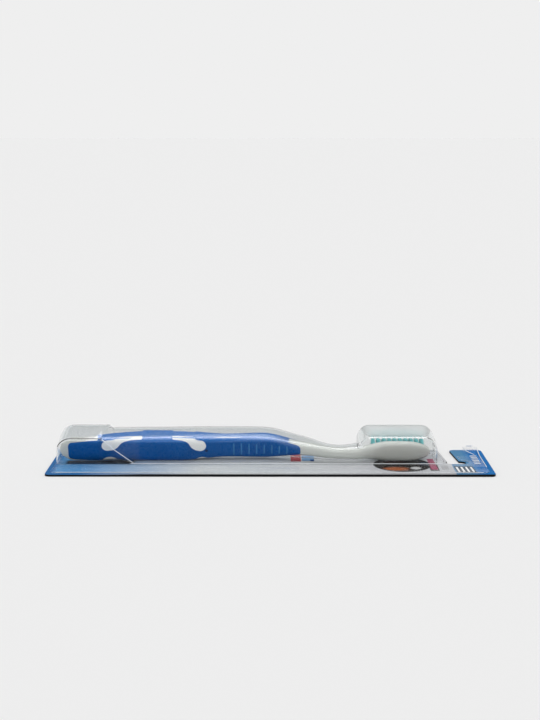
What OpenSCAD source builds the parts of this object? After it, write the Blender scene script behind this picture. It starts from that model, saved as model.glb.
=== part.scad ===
// Manual toothbrush in a clear blister on a hanging card, in millimetres.
// The card lies flat with +Z up, the brush runs along +X from its tail to its head,
// and the origin is the centre of the card's rear face. The brush lies on its side:
// its back faces -Y, and its bristles point to +Y and a little up.

/* [Handle] */
// Length of the rounding at the tail end
tail_round = 8; // [6:0.5:9]
// Length of the tail up to its full section
tail_x = 10; // [9:0.5:12]
// Width of the tail
tail_w = 12.2; // [11.4:0.2:12.4]
// Thickness of the tail
tail_t = 4.4; // [4.2:0.2:5.2]
// Drop of the tail's back below the belly's back
tail_drop = 0.6; // [0.3:0.1:1]
// Length of the flat part of the tail, before it thickens
tail_flat = 11; // [9:1:13]
// Width of the handle where it starts to thicken
swell_w = 12.6; // [12.4:0.2:12.8]
// Thickness of the handle where it starts to thicken
swell_t = 7; // [6.4:0.2:7.6]
// Length over which the handle thickens to its belly
swell_len = 24; // [22:1:27]
// Length of the belly
belly_len = 15; // [12:1:18]
// Width of the handle at its belly
belly_w = 13.4; // [12.8:0.2:13.8]
// Thickness of the handle at its belly
belly_t = 12; // [11:0.2:12.6]
// Length from the belly to the waist
waist_run = 25; // [22:1:28]
// Width of the handle at its waist
waist_w = 10.4; // [9.8:0.2:10.8]
// Thickness of the handle at its waist
waist_t = 8.4; // [8:0.2:9.2]
// Rise of the waist's back over the belly's back
waist_rise = 2.4; // [1.8:0.1:3]
// Length from the waist to the thumb rest's middle
thumb_run = 19; // [18:1:21]
// Width of the handle at the thumb rest
thumb_w = 11.2; // [10.8:0.2:11.8]
// Thickness of the handle at the thumb rest
thumb_t = 8.4; // [7.8:0.2:9]
// Rise of the thumb rest's back over the belly's back
thumb_rise = 3; // [2.4:0.1:3.6]

/* [Neck and head] */
// Length from the thumb rest's middle to the collar at the neck
collar_run = 20; // [18:1:22]
// Width of the collar
collar_w = 6.8; // [6.4:0.2:7.4]
// Thickness of the collar
collar_t = 6.1; // [5.8:0.1:6.8]
// Rise of the collar's back over the belly's back
collar_rise = 1.1; // [0.6:0.1:1.8]
// Length over which the neck slims down from the collar
neck_run = 19; // [17:1:21]
// Width of the neck
neck_w = 5.6; // [5.2:0.2:6.4]
// Thickness of the neck
neck_t = 4.9; // [4.6:0.1:5.4]
// Drop of the neck's back below the belly's back
neck_drop = 3.2; // [2.6:0.1:3.6]
// Length of the slim neck up to the head
neck_len = 9; // [7:1:11]
// Length over which the head widens
head_run = 17; // [15:1:18]
// Length from the head's full width to its tip
head_len = 21; // [20.6:0.2:24]
// Width of the head
head_w = 10.4; // [10:0.2:10.8]
// Thickness of the head
head_t = 5; // [4.6:0.1:5.6]
// Drop of the head's back below the belly's back
head_drop = 0.3; // [0.1:0.1:0.8]
// Length of the rounding at the head's tip
tip_round = 13; // [11:1:15]

/* [Soft grip] */
// Depth of the soft grip over the handle core
grip_wall = 1.2; // [0.9:0.1:1.4]
// Height of the soft grip above the hard surface beside it
grip_proud = 0.15; // [0.1:0.05:0.25]
// Start of the grip's tail panel, from the tail end
panel_x = 4.5; // [4:0.5:6]
// Width of the grip's tail panel at its start
panel_w = 7; // [6.4:0.2:8]
// Length of the wrapped grip behind the place where the tail thickens
wrap_run = 4; // [2:0.5:6]
// Length of the wrapped grip beyond the thumb rest's middle
unwrap_run = 9; // [7:0.5:10]
// Distance from the end of the grip's thumb panel to the collar
thumb_end_gap = 0.5; // [0:0.5:2]
// Width of the grip's thumb panel at its end
thumb_end_w = 5; // [4.6:0.2:5.6]
// Corner radius of the grip's panels
panel_r = 2; // [1:0.2:2.2]
// Thickness of soft grip left between front and back windows
island_t = 4.8; // [4:0.2:5.2]
// Radius of the windows' round ends on the upper side
upper_lobe_r = 2.9; // [2.4:0.1:3.1]
// Radius of the windows' round ends on the lower side
lower_lobe_r = 1.4; // [1.2:0.1:1.8]
// Radius of the windows' slim ends
window_tip_r = 0.6; // [0.4:0.1:0.8]
// Distance from the place where the tail thickens to the rear windows' round ends
rear_lobe_run = 3.2; // [3:0.2:5]
// Length of the rear windows between their two ends' centres
rear_window_len = 16.8; // [15:0.2:18]
// Distance from the belly's fore end back to the fore windows' slim ends
fore_tip_gap = 2; // [0:0.5:4]
// Length of the fore windows between their two ends' centres
fore_window_len = 14; // [12:0.5:16]
// Number of thumb ribs on each face
rib_count = 8; // [5:1:8]
// Spacing of the thumb ribs
rib_pitch = 3.9; // [3.4:0.1:4]
// Distance from the waist to the first thumb rib
rib_run = 4.2; // [3:0.2:6]
// Width of a thumb rib
rib_w = 0.7; // [0.5:0.1:1]
// Length of the first and longest thumb rib
rib_len = 7.2; // [6.4:0.2:7.6]
// Length of the last and shortest thumb rib
last_rib_len = 4.4; // [3.4:0.2:5]
// Height of a thumb rib above the grip
rib_h = 0.4; // [0.3:0.05:0.6]

/* [Bristles] */
// Height of the bristles above the head's face
bristle_len = 11; // [9.6:0.2:11.4]
// Depth of the flat cut that makes the head's face
face_cut = 0.35; // [0.2:0.05:0.5]
// Diameter of a tuft hole
hole_d = 1.7; // [1.5:0.05:1.75]
// Depth of a tuft hole
hole_depth = 3; // [2.4:0.1:3.2]
// Clearance between a tuft's root and its hole, on the radius
hole_gap = 0.03; // [0.02:0.01:0.05]
// Depth of a tuft's root below the head's face
root_sink = 0.1; // [0.05:0.05:0.2]
// Distance from the end of the neck to the first row of tufts
row_run = 9.2; // [8.6:0.2:9.6]
// Spacing of the rows of tufts
row_pitch = 2.8; // [2.6:0.05:2.8]
// Distance from the head's edge to the centre of an outer tuft
edge_margin = 1.5; // [1.4:0.05:1.6]
// Number of strands in each tuft
strands = 9; // [8:1:13]
// Width of a strand across its corners
strand_d = 0.3; // [0.2:0.02:0.32]
// Thickness of a tuft's metal anchor
anchor_t = 0.3; // [0.2:0.05:0.4]
// Height of a tuft's metal anchor
anchor_h = 1.2; // [0.8:0.1:1.6]

/* [Card] */
// Length of the card beyond the brush's tip
hang_len = 30; // [28:1:42]
// Width of the card
card_w = 52; // [50:1:60]
// Corner radius of the card
card_r = 2.6; // [1:0.2:4]
// Thickness of the printed front leaf
front_leaf_t = 0.5; // [0.3:0.05:0.8]
// Thickness of the dark rear leaf
rear_leaf_t = 0.5; // [0.3:0.05:0.8]
// Distance from the card's head end to the far end of the hang slot
slot_inset = 11.6; // [10:0.2:13]
// Length of the hang slot
slot_len = 10.4; // [9.6:0.2:11.4]
// Width of the hang slot
slot_w = 6; // [5.4:0.2:6.4]
// Width of the side entry to the hang slot
entry_w = 6.3; // [5.9:0.1:6.6]
// Distance of the entry's root from the tail end of the hang slot
entry_run = 1; // [0.6:0.1:1.4]
// Lean of the entry towards the tail at the card's far edge
entry_lean = 2.4; // [1.6:0.2:2.8]
// Radius of the hook's corner beside the entry
hook_r = 3; // [1:0.5:5]
// Distance of the hang slot's centre from the card's middle, towards the front edge
slot_shift = 1.5; // [0:0.5:3]

/* [Blister] */
// Thickness of the blister's plastic
blister_t = 0.4; // [0.3:0.05:0.5]
// Gap between the brush's neck and the blister's front wall
front_gap = 0.25; // [0.2:0.05:0.5]
// Gap between the brush and the blister's roof
roof_gap = 1.3; // [1:0.1:1.6]
// Gap between the brush and the blister's roof at the neck
neck_roof_gap = 0.5; // [0.4:0.1:1]
// Drop of the roof at the thumb rest
roof_sag = 0.4; // [0.2:0.1:0.6]
// Distance of the roof's crest beyond the upper edge of the brush
crest_run = 1.8; // [1.2:0.1:2.4]
// Gap between the brush and the blister's far wall
far_gap = 2.4; // [1.8:0.2:3]
// Gap between the brush's tail and the blister's end wall
tail_gap = 1; // [0.8:0.1:1.2]
// Gap between the brush's tip and the blister's end wall
tip_gap = 3; // [2:0.2:4]
// Lean of the blister's front wall, foot to roof
front_lean = 1; // [0.8:0.1:1.4]
// Climb of the handle bubble's roof towards the head, in degrees
roof_climb = 0.5; // [0.3:0.1:0.8]
// Fall of the handle bubble's roof towards the front edge, in degrees
roof_fall = 13; // [10:1:14]
// Fall of the roof towards the front edge at the neck, in degrees
neck_fall = 8; // [6:1:10]
// Length of the tail pocket's flat roof at its front edge
tail_roof_len = 16.4; // [14:0.2:19]
// Length that the tail pocket's roof gains towards its crest
tail_roof_gain = 2; // [1:0.2:3]
// Height of the tail pocket's roof above the handle bubble's
tail_step = 0.9; // [0.7:0.1:1.4]
// Fall of the tail pocket's roof towards the front edge, in degrees
tail_fall = 13; // [10:1:14]
// Radius of the tail pocket's shoulder
tail_shoulder_r = 7.5; // [6:0.5:8]
// Step of the tail pocket's front wall out from the handle bubble's
ramp_step = 0.8; // [0.4:0.1:1]
// Length of the slant from the tail pocket's front wall down to the card
ramp_len = 20; // [16:1:26]
// Length of the head pocket beyond the bristles at the neck end
head_lead = 8.2; // [7:0.2:10]
// Room between the bristles and the head pocket's roof
head_room = 2.2; // [1.2:0.2:3]
// Fall of the head pocket's roof towards the front edge, in degrees
head_fall = 6; // [4:1:8]
// Radius of the head pocket's shoulders
head_shoulder_r = 7; // [5:0.5:8]
// Distance from the card's front and far edges to the flange
flange_side_inset = 3; // [2:0.5:5]
// Distance from the card's tail end to the flange
flange_tail_inset = 2; // [1.5:0.25:2.25]
// Distance from the card's head end to the flange
flange_head_inset = 2.5; // [2:0.5:4]
// Corner radius of the flange
flange_r = 3.5; // [2:0.5:5]
// Margin of the flange's notch around the hang slot
notch_margin = 1.4; // [1:0.2:3]
// Width of the peel tab
tab_w = 7.6; // [6:0.2:8.4]
// Length of the loose end of the peel tab
tab_len = 14; // [12:0.5:15]
// Upward slant of the loose end of the peel tab, in degrees
tab_slant = 8; // [4:1:12]
// Number of grip bars beside the peel tab
tab_bars = 6; // [4:1:7]
// Spacing of the grip bars
tab_bar_pitch = 3.2; // [2.6:0.1:3.4]
// Width of a grip bar
tab_bar_w = 1.1; // [0.8:0.1:1.6]
// Length of a grip bar
tab_bar_len = 4.2; // [3:0.2:5]
// Height of a grip bar above the flange
tab_bar_h = 0.4; // [0.2:0.1:0.6]

/* [Lie in the pack] */
// Distance from the card's tail end to the brush's tail
tail_inset = 4; // [3.8:0.1:5]
// Distance of the brush's back from the card's middle line
brush_y = -0.8; // [-1.4:0.1:0]
// Gap between the brush and the card where it rests
rest_gap = 0.2; // [0.15:0.05:0.4]
// Roll of the brush from lying flat on its side, in degrees
roll = 16; // [14:1:17]

/* [Hidden] */
// Overrun of every cut past the face that it cuts
over = 1;
// Thickness of the slabs that round out a hull
slab_t = 0.02;
// Smallest end section's share of its full section, which closes the rounded ends
end_share = 0.12;
// Points round a section of the handle
section_points = 20;
// Corner shapes of a section: 2 is an ellipse, higher is squarer
handle_corner = 3.8;
neck_corner = 2.3;
head_corner = 3.4;
// Numbers of sections in the rounded tail, the body and the rounded tip
tail_steps = 6;
body_steps = 30;
tip_steps = 7;
// Number of sections in the handle bubble's neck end, and in a pocket's rounded shoulder
bubble_steps = 12;
shoulder_steps = 5;
// Place of the head's heel between the neck's end and the first row of tufts, as a share
heel_share = 0.76;
// Width and back drop of the heel as shares of the way from neck to head
heel_width_share = 0.38;
heel_drop_share = 0.48;
// Cross places of the tufts in a row, as shares of the outer tuft's distance from the middle line
row_shares = [[], [0], [-1, 1], [-1, 0, 1], [-1, -1 / 3, 1 / 3, 1]];
// Number of tufts in each row, neck end first
row_counts = [3, 4, 4, 4, 4, 4, 4, 4, 3, 3];
golden_angle = 137.508;
// Share of a root's radius over which its strands spread
strand_spread_share = 0.8;
// Share of a root's length that its strands reach down into
strand_root_share = 0.3;
// Place and size of a window's elbow as shares of the way from round end to slim end
elbow_place_share = 0.4;
elbow_size_share = 0.45;
// Place of the blister's far shoulder as shares of its run and of its height
shoulder_run_share = 0.75;
shoulder_drop_share = 0.05;
// Run of the step down from the tail pocket's roof as a share of its height
step_run_share = 1.5;
// Rounding of the blister's front roof edge as a share of its height
soft_edge_share = 0.09;
// Width lost in a pocket's rounded end as a share of the height lost there
end_taper_share = 0.35;
// Distance of the slant's wall inside the walls that it joins at its two ends
ramp_inset = 0.1;

// Places along the brush from its tail
swell_x = tail_x + tail_flat;
belly_x = swell_x + swell_len;
belly_end = belly_x + belly_len;
waist_x = belly_end + waist_run;
thumb_x = waist_x + thumb_run;
collar_x = thumb_x + collar_run;
neck_x = collar_x + neck_run;
nape_x = neck_x + neck_len;
row_x = nape_x + row_run;
head_x = nape_x + head_run;
brush_len = head_x + head_len;
wrap_x = swell_x - wrap_run;
unwrap_x = thumb_x + unwrap_run;
thumb_end_x = collar_x - thumb_end_gap;
rear_lobe_x = swell_x + rear_lobe_run;
rear_tip_x = rear_lobe_x + rear_window_len;
fore_tip_x = belly_end - fore_tip_gap;
fore_lobe_x = fore_tip_x + fore_window_len;
rib_x = waist_x + rib_run;

card_len = tail_inset + brush_len + hang_len;
card_t = front_leaf_t + rear_leaf_t;
brush_x0 = tail_inset - card_len / 2;
heel_x = nape_x + (row_x - nape_x) * heel_share;
heel_w = neck_w + (head_w - neck_w) * heel_width_share;
heel_drop = neck_drop + (head_drop - neck_drop) * heel_drop_share;
head_front = head_t - head_drop;

// Sections of the brush from tail to tip: place, width, height of back, height of front, corner shape
keys = [
    [0, tail_w, -tail_drop, tail_t - tail_drop, handle_corner],
    [tail_x, tail_w, -tail_drop, tail_t - tail_drop, handle_corner],
    [swell_x, swell_w, -tail_drop / 2, swell_t - tail_drop / 2, handle_corner],
    [belly_x, belly_w, 0, belly_t, handle_corner],
    [belly_end, belly_w, 0, belly_t, handle_corner],
    [waist_x, waist_w, waist_rise, waist_rise + waist_t, handle_corner],
    [thumb_x, thumb_w, thumb_rise, thumb_rise + thumb_t, handle_corner],
    [collar_x, collar_w, collar_rise, collar_rise + collar_t, neck_corner],
    [neck_x, neck_w, -neck_drop, neck_t - neck_drop, neck_corner],
    [nape_x, neck_w, -neck_drop, neck_t - neck_drop, neck_corner],
    [heel_x, heel_w, -heel_drop, head_front, neck_corner],
    [head_x, head_w, -head_drop, head_front, head_corner],
    [brush_len, head_w, -head_drop, head_front, head_corner],
];

// Smooth curve through column c of table k that never swings past its rows
function rate(k, i, c) = (k[i + 1][c] - k[i][c]) / (k[i + 1][0] - k[i][0]);
function slope(k, i, c) =
    i == 0 || i == len(k) - 1 ? 0
    : rate(k, i - 1, c) * rate(k, i, c) <= 0 ? 0
    : 2 / (1 / rate(k, i - 1, c) + 1 / rate(k, i, c));
function blend(k, i, c, x) =
    let (h = k[i + 1][0] - k[i][0], u = (x - k[i][0]) / h)
    k[i][c] * (2 * pow(u, 3) - 3 * pow(u, 2) + 1)
    + slope(k, i, c) * h * (pow(u, 3) - 2 * pow(u, 2) + u)
    + k[i + 1][c] * (3 * pow(u, 2) - 2 * pow(u, 3))
    + slope(k, i + 1, c) * h * (pow(u, 3) - pow(u, 2));
function along(k, c, x) =
    let (i = max([for (j = [0:len(k) - 2]) x >= k[j][0] ? j : 0])) blend(k, i, c, x);

// Share of the full section that is left in the rounded tail and tip
function end_round(x) = max(end_share,
    x < tail_round ? sqrt(max(0, 1 - pow(1 - x / tail_round, 2)))
    : x > brush_len - tip_round ? sqrt(max(0, 1 - pow((x - brush_len + tip_round) / tip_round, 2)))
    : 1);
function width(x) = along(keys, 1, x) * end_round(x);
function thick(x) = (along(keys, 3, x) - along(keys, 2, x)) * sqrt(end_round(x));
function middle(x) = (along(keys, 3, x) + along(keys, 2, x)) / 2;

function bend(v, e) = sign(v) * pow(abs(v), 2 / e);
// One section of the brush, grown outwards by grow
function ring(x, grow) =
    let (w = width(x) / 2 + grow, t = thick(x) / 2 + grow, e = along(keys, 4, x), m = middle(x))
    [for (k = [0:section_points - 1])
        let (a = 360 * k / section_points) [x, w * bend(cos(a), e), m + t * bend(sin(a), e)]];

tail_places = [for (i = [0:tail_steps]) tail_round * (1 - cos(90 * i / tail_steps))];
body_places = [for (i = [1:body_steps])
    tail_round + (brush_len - tip_round - tail_round) * i / body_steps];
tip_places = [for (i = [1:tip_steps]) brush_len - tip_round + tip_round * sin(90 * i / tip_steps)];
places = concat(tail_places, body_places, tip_places);

// A closed skin through the rings, every face a triangle
module skin(rings) {
    n = len(rings[0]);
    m = len(rings);
    points = [for (r = rings) each r];
    sides = [for (j = [0:m - 2], k = [0:n - 1])
        let (a = j * n + k, b = j * n + (k + 1) % n)
        each [[a, b + n, b], [a, a + n, b + n]]];
    ends = [for (k = [1:n - 2])
        each [[0, k, k + 1], [(m - 1) * n, (m - 1) * n + k + 1, (m - 1) * n + k]]];
    polyhedron(points = points, faces = concat(sides, ends), convexity = 6);
}

module handle_body(grow, from, to) {
    skin([for (x = places) if (x >= from && x <= to) ring(x, grow)]);
}

module panel_end(x, w) {
    for (s = [-1, 1]) translate([x, s * (w / 2 - panel_r)]) circle(r = panel_r, $fn = 24);
}

// Outline of the soft grip, seen from the back
module grip_outline() {
    hull() {
        panel_end(panel_x + panel_r, panel_w);
        translate([wrap_x, -swell_w / 2 - over]) square([over, swell_w + 2 * over]);
    }
    translate([wrap_x, -belly_w]) square([unwrap_x - wrap_x, 2 * belly_w]);
    hull() {
        panel_end(thumb_end_x - panel_r, thumb_end_w);
        translate([unwrap_x - over, -thumb_w / 2]) square([over, thumb_w]);
    }
}

// A post of a window, cut in from one face to beside the handle's middle plane
module window_post(x, y, r, face, fn) {
    translate([x, y, middle(x) + face * (island_t + belly_t) / 2])
        cylinder(h = belly_t, r = r, center = true, $fn = fn);
}

// One window: a round end that narrows along the handle's edge to a slim end
module window(lobe_x, tip_x, lobe_r, side, face) {
    elbow_x = lobe_x + (tip_x - lobe_x) * elbow_place_share;
    elbow_r = lobe_r * elbow_size_share;
    elbow_y = side * (width(elbow_x) - elbow_r) / 2;
    hull() {
        window_post(lobe_x, side * (width(lobe_x) / 2 - lobe_r), lobe_r, face, 18);
        window_post(elbow_x, elbow_y, elbow_r, face, 12);
    }
    hull() {
        window_post(elbow_x, elbow_y, elbow_r, face, 12);
        window_post(tip_x, side * width(tip_x) / 2, window_tip_r, face, 6);
    }
}

// Windows of one end of the grip, on its back and on its front
module window_pair(lobe_x, tip_x) {
    for (face = [-1, 1]) {
        window(lobe_x, tip_x, lower_lobe_r, 1, face);
        window(lobe_x, tip_x, upper_lobe_r, -1, face);
    }
}

// The room that the soft grip fills round the core
module grip_room() {
    difference() {
        translate([0, 0, -belly_t]) linear_extrude(3 * belly_t) grip_outline();
        handle_body(-grip_wall, panel_x / 2, neck_x);
        window_pair(rear_lobe_x, rear_tip_x);
        window_pair(fore_lobe_x, fore_tip_x);
    }
}

// Slabs that cross the handle where its thumb ribs stand, on both faces
module rib_slabs() {
    for (i = [0:rib_count - 1]) {
        length = rib_len + (last_rib_len - rib_len) * i / (rib_count - 1);
        translate([rib_x + i * rib_pitch - rib_w / 2, -length / 2, 0]) cube([rib_w, length, 2 * belly_t]);
    }
}

face_z = head_front - face_cut;
function outer_tuft(x) = width(x) / 2 - edge_margin;
// Centre of every tuft on the head's face
tufts = [for (r = [0:len(row_counts) - 1], share = row_shares[row_counts[r]])
    let (x = row_x + r * row_pitch) [x, share * outer_tuft(x)]];

module at_tuft(i) {
    translate([tufts[i][0], tufts[i][1], face_z]) children();
}

// Height and cross place that a section's points reach in the pack, from the brush's back line
function lie_heights(x) = [for (p = ring(x, grip_proud)) p[2] * sin(roll) - p[1] * cos(roll)];
function lie_crosses(x) = [for (p = ring(x, grip_proud)) p[2] * cos(roll) + p[1] * sin(roll)];
// The brush rests on the card at its belly and at its head
dip = asin((min(lie_heights(head_x)) - min(lie_heights(belly_x))) / (head_x - belly_x));
rest_z = card_t + rest_gap - min(lie_heights(belly_x));
function lie_x(x) = brush_x0 + belly_x + (x - belly_x) * cos(dip);
function lie_z(x) = rest_z - (x - belly_x) * sin(dip);

// Puts the brush, drawn with its bristles up, on its side in the pack
module in_pack() {
    translate([brush_x0 + belly_x, brush_y, rest_z])
        rotate([0, dip, 0])
        rotate([roll - 90, 0, 0])
        translate([-belly_x, 0, 0])
        children();
}

module handle_core() {
    color("whitesmoke") in_pack() difference() {
        handle_body(0, 0, brush_len);
        grip_room();
        translate([nape_x, -head_w, face_z]) cube([brush_len, 2 * head_w, head_t]);
        for (i = [0:len(tufts) - 1])
            at_tuft(i) translate([0, 0, -hole_depth]) cylinder(h = hole_depth + over, d = hole_d, $fn = 10);
    }
}

module grip_overmould() {
    color("royalblue") in_pack() {
        intersection() {
            handle_body(grip_proud, 0, neck_x);
            grip_room();
        }
        intersection() {
            handle_body(grip_proud + rib_h, waist_x - panel_r, neck_x);
            difference() {
                rib_slabs();
                handle_body(-grip_wall / 2, tail_x, nape_x);
            }
        }
    }
}

module anchor_plate() {
    plate_w = hole_d - 4 * hole_gap;
    translate([-plate_w / 2, -anchor_t / 2, -hole_depth]) cube([plate_w, anchor_t, anchor_h]);
}

module tuft(i) {
    root_r = hole_d / 2 - hole_gap;
    strand_base = -root_sink - (hole_depth - root_sink) * strand_root_share;
    color("mediumturquoise") in_pack() at_tuft(i) {
        difference() {
            translate([0, 0, -hole_depth]) cylinder(h = hole_depth - root_sink, r = root_r, $fn = 10);
            anchor_plate();
        }
        for (k = [0:strands - 1])
            rotate(k * golden_angle)
                translate([root_r * strand_spread_share * sqrt((k + 0.5) / strands), 0, strand_base])
                cylinder(h = bristle_len - strand_base, d = strand_d, $fn = 3);
    }
}

module tuft_anchors() {
    color("silver") in_pack() for (i = [0:len(tufts) - 1]) at_tuft(i) anchor_plate();
}

slot_x = card_len / 2 - slot_inset;
entry_x = slot_x - slot_len;

// Hang slot with its entry from the far edge, grown by grow
module slot_outline(grow) {
    root_x = entry_x + entry_run;
    hook_x = root_x + entry_w - entry_lean;
    hull() for (x = [entry_x + slot_w / 2, slot_x - slot_w / 2])
        translate([x, -slot_shift]) circle(r = slot_w / 2 + grow, $fn = 40);
    polygon([
        [root_x - grow, -slot_shift],
        [root_x + entry_w + grow, -slot_shift],
        [hook_x + grow, card_w / 2 + over],
        [hook_x - entry_w - grow, card_w / 2 + over],
    ]);
    difference() {
        translate([hook_x, card_w / 2 - hook_r]) square([hook_r, hook_r + over]);
        translate([hook_x + hook_r, card_w / 2 - hook_r]) circle(r = hook_r - grow, $fn = 40);
    }
}

module rounded_sheet(x0, x1, y0, y1, r) {
    hull() for (x = [x0 + r, x1 - r], y = [y0 + r, y1 - r]) translate([x, y]) circle(r = r, $fn = 32);
}

module card_leaf(t) {
    linear_extrude(t) difference() {
        rounded_sheet(-card_len / 2, card_len / 2, -card_w / 2, card_w / 2, card_r);
        slot_outline(0);
    }
}

module rear_card() {
    color("dimgray") card_leaf(rear_leaf_t);
}

module printed_card() {
    color("aliceblue") translate([0, 0, rear_leaf_t]) card_leaf(front_leaf_t);
}

// Foot of the blister's front wall, straight along its whole length
front_y = brush_y + min(lie_crosses(neck_x)) - front_gap - blister_t - front_lean / 2;
crest_top = max([for (x = places) lie_z(x) + max(lie_heights(x))]);
function crest_z(x) = lie_z(x) + max(lie_heights(x)) + neck_roof_gap + blister_t;
function crest_y(x) = brush_y + crest_run + (middle(x) + thick(x) / 4) * cos(roll) - width(x) / 2 * sin(roll);
function far_y(x) = brush_y + max(lie_crosses(x)) + far_gap + blister_t;
function bubble_roof(x) = crest_top + roof_gap + blister_t + (x - belly_x - belly_len / 2) * tan(roof_climb);

// Section of the blister: foot and roof edge of its front wall, crest, and foot of its far wall.
// It is shrunk by the plastic's thickness for the inside, and its foot is sunk for a cut.
function shell_section(foot, near_z, top_y, top_z, far_foot, shrink, sink) =
    let (edge = foot + front_lean + shrink, near = near_z - shrink, top = top_z - shrink,
        back = far_foot - shrink, soft = (near_z - card_t) * soft_edge_share)
    [
        [foot + shrink, card_t - sink],
        [back, card_t - sink],
        [top_y + (back - top_y) * shoulder_run_share, top - (top_z - card_t) * shoulder_drop_share],
        [top_y, top],
        [edge + soft, near],
        [edge + soft / 3, near - soft / 3],
        [edge, near - soft],
    ];

module slab(x, points) {
    translate([x, 0, 0]) rotate([90, 0, 90]) linear_extrude(slab_t) polygon(points);
}

// Roof crest height, crest place, far foot and fall of the handle bubble, from tail to head pocket
head_x0 = lie_x(row_x) - head_lead;
collar_roof = (bubble_roof(waist_x) + crest_z(neck_x)) / 2;
bubble_keys = [
    [lie_x(tail_x), bubble_roof(tail_x), crest_y(belly_x), far_y(belly_x), roof_fall],
    [lie_x(belly_x), bubble_roof(belly_x), crest_y(belly_x), far_y(belly_x), roof_fall],
    [lie_x(waist_x), bubble_roof(waist_x), crest_y(belly_x), far_y(belly_x), roof_fall],
    [lie_x(thumb_x), bubble_roof(thumb_x) - roof_sag, crest_y(thumb_x), far_y(belly_x), roof_fall],
    [lie_x(collar_x), collar_roof, crest_y(collar_x), far_y(collar_x), roof_fall],
    [lie_x(neck_x), crest_z(neck_x), crest_y(neck_x), far_y(neck_x), neck_fall],
    [head_x0 + head_shoulder_r, crest_z(heel_x), crest_y(heel_x), far_y(heel_x), neck_fall],
];
bubble_places = concat([lie_x(tail_x), lie_x(belly_x)],
    [for (i = [0:bubble_steps]) lie_x(waist_x + (neck_x - waist_x) * i / bubble_steps)],
    [head_x0 + head_shoulder_r]);

function bubble_ring(x, shrink, sink) =
    let (top_z = along(bubble_keys, 1, x), top_y = along(bubble_keys, 2, x),
        near_z = top_z - (top_y - front_y - front_lean) * tan(along(bubble_keys, 4, x)),
        far_foot = along(bubble_keys, 3, x))
    [for (p = shell_section(front_y, near_z, top_y, top_z, far_foot, shrink, sink)) [x, p[0], p[1]]];

module bubble(shrink, sink) {
    skin([for (x = bubble_places) bubble_ring(x, shrink, sink)]);
}

// How far the roof has sunk in a rounded shoulder of radius r, at step i from its end
function shoulder_run(i, r) = r * (1 - cos(90 * i / shoulder_steps));
function shoulder_drop(i, r) = r * (1 - sin(90 * i / shoulder_steps));

module pocket_slab(x, foot, top_y, top_z, far_foot, fall, drop, shrink, sink) {
    near_z = top_z - (top_y - foot - front_lean) * tan(fall);
    taper = drop * end_taper_share;
    slab(x, shell_section(foot + taper, near_z - drop, top_y - taper, top_z - drop, far_foot - taper,
        shrink, sink));
}

tail_x0 = brush_x0 - tail_gap - blister_t;
tail_foot_y = front_y - ramp_step;
tail_top_z = bubble_roof(swell_x) + tail_step;
tail_far_y = far_y(belly_x) + ramp_step;
tail_top_y = (crest_y(belly_x) + tail_far_y) / 2;
tail_roof_end = tail_x0 + tail_shoulder_r + tail_roof_len - tail_step;
tail_step_run = 2 * tail_step * step_run_share;
tail_near_z = tail_top_z - (tail_top_y - tail_foot_y - front_lean) * tan(tail_fall);

// The far part of the tail pocket's section, from its crest to its far foot
module tail_far_slab(x, drop, shrink, sink) {
    section = shell_section(tail_foot_y, tail_near_z - drop, tail_top_y, tail_top_z - drop,
        tail_far_y, shrink, sink);
    slab(x, [[tail_top_y, card_t - sink], section[1], section[2], section[3]]);
}

module tail_pocket(shrink, sink) {
    r = tail_shoulder_r - shrink;
    hull() {
        for (i = [0:shoulder_steps])
            pocket_slab(tail_x0 + shrink + shoulder_run(i, r), tail_foot_y, tail_top_y, tail_top_z,
                tail_far_y, tail_fall, shoulder_drop(i, r), shrink, sink);
        pocket_slab(tail_roof_end - shrink, tail_foot_y, tail_top_y, tail_top_z,
            tail_far_y, tail_fall, 0, shrink, sink);
        tail_far_slab(tail_roof_end + tail_roof_gain - shrink, 0, shrink, sink);
        tail_far_slab(tail_roof_end + tail_roof_gain + tail_step_run - shrink, 2 * tail_step, shrink, sink);
    }
}

// The slant that runs from the tail pocket's front wall down to the card
module tail_ramp(shrink, sink) {
    foot = tail_foot_y + shrink + ramp_inset;
    top = tail_near_z - shrink - (tail_near_z - card_t) * soft_edge_share;
    wall = [
        [foot, card_t - sink],
        [front_y + front_lean, card_t - sink],
        [front_y + 2 * front_lean, top],
        [foot + front_lean, top],
    ];
    toe = [
        [front_y + shrink + ramp_inset, card_t - sink],
        [front_y + front_lean, card_t - sink],
        [front_y + shrink + front_lean / 2, card_t + blister_t - shrink],
    ];
    hull() {
        slab(tail_roof_end - tail_step, wall);
        slab(tail_roof_end + ramp_len, toe);
    }
}

head_tip_r = outer_tuft(head_x) + hole_d / 2;
tip_height = face_z + bristle_len;
head_x1 = lie_x(brush_len) + tip_gap + blister_t;
head_top_z = lie_z(head_x) + tip_height * sin(roll) + head_tip_r * cos(roll) + head_room + blister_t;
head_top_y = brush_y + crest_run + tip_height * cos(roll);
head_far_y = head_top_y - crest_run + head_tip_r * sin(roll) + far_gap + blister_t;

module head_pocket(shrink, sink) {
    r = head_shoulder_r - shrink;
    hull() for (i = [0:shoulder_steps], end = [0, 1]) {
        run = shrink + shoulder_run(i, r);
        pocket_slab(end == 0 ? head_x0 + run : head_x1 - run, front_y, head_top_y, head_top_z,
            head_far_y, head_fall, shoulder_drop(i, r), shrink, sink);
    }
}

flange_x0 = flange_tail_inset - card_len / 2;
flange_x1 = card_len / 2 - flange_head_inset;
flange_y = card_w / 2 - flange_side_inset;
tab_root_y = card_w / 2 - tab_len;

module flange_outline() {
    difference() {
        rounded_sheet(flange_x0, flange_x1, -flange_y, flange_y, flange_r);
        slot_outline(notch_margin);
        translate([entry_x, tab_root_y]) square([card_len / 2, card_w / 2]);
    }
}

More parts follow.
